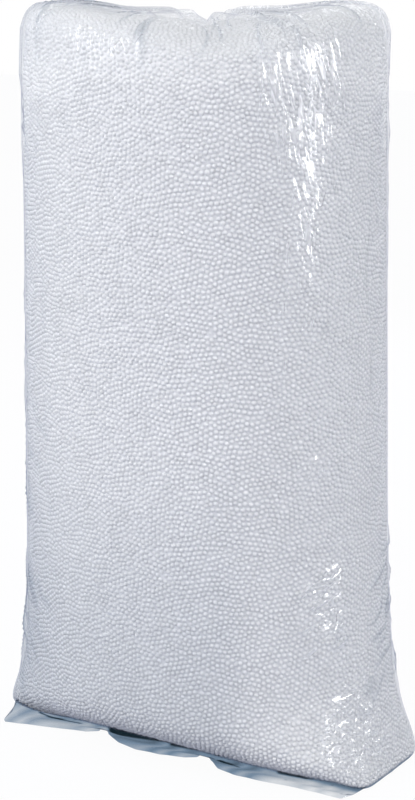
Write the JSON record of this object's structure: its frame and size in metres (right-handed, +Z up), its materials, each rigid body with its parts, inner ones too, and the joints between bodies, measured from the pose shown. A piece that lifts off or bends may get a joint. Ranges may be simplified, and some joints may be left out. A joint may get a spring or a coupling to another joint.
{
  "type": "bag of bean bag filler",
  "caption": "Tall clear film bag full of white foam beads, gathered and tied at the top and welded along the foot; stands on its base and refills bean bags.",
  "frame": {"origin": "middle of the foot, on the floor", "axes": "+Z up the bag, +X towards its right side, -Y out of the broad front face with the welded flap"},
  "size_m": [0.4064, 0.284, 0.6903],
  "materials": {
    "film": "clear polythene film",
    "beads": "white expanded polystyrene",
    "tie": "plain white band"
  },
  "bodies": {
    "root": {"film_bag": "film", "bead_fill": "beads", "neck_tie": "tie"}
  },
  "joints": []
}
